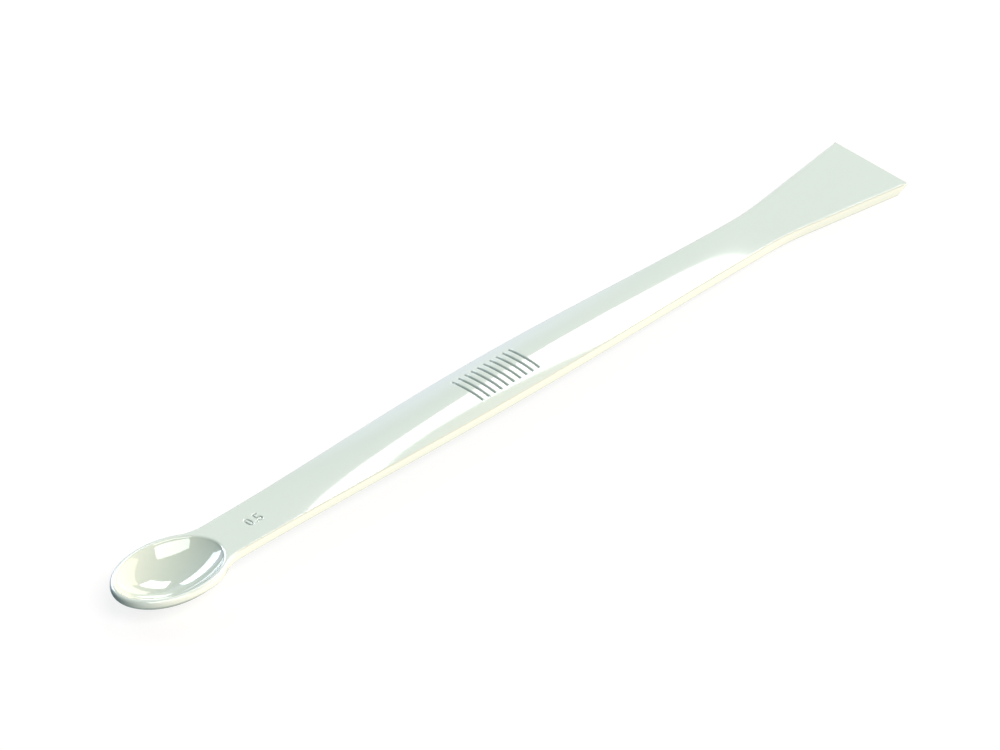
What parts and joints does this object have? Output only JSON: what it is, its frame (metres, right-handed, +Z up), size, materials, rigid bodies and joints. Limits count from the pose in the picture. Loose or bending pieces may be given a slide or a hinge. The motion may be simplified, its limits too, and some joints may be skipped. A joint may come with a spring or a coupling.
{
  "type": "lab spatula",
  "caption": "One-piece moulded plastic lab spatula with an oval measuring spoon, a gently arched handle and a flat flared blade with a bevelled end.",
  "frame": {"origin": "centre of the bounding box on the surface that the spatula lies on", "axes": "+X along the length from the spoon to the blade, +Y across the handle, +Z up"},
  "size_m": [0.18, 0.0176, 0.0051],
  "materials": {
    "body": "gloss"
  },
  "bodies": {
    "root": {"spatula": "body"}
  },
  "joints": []
}
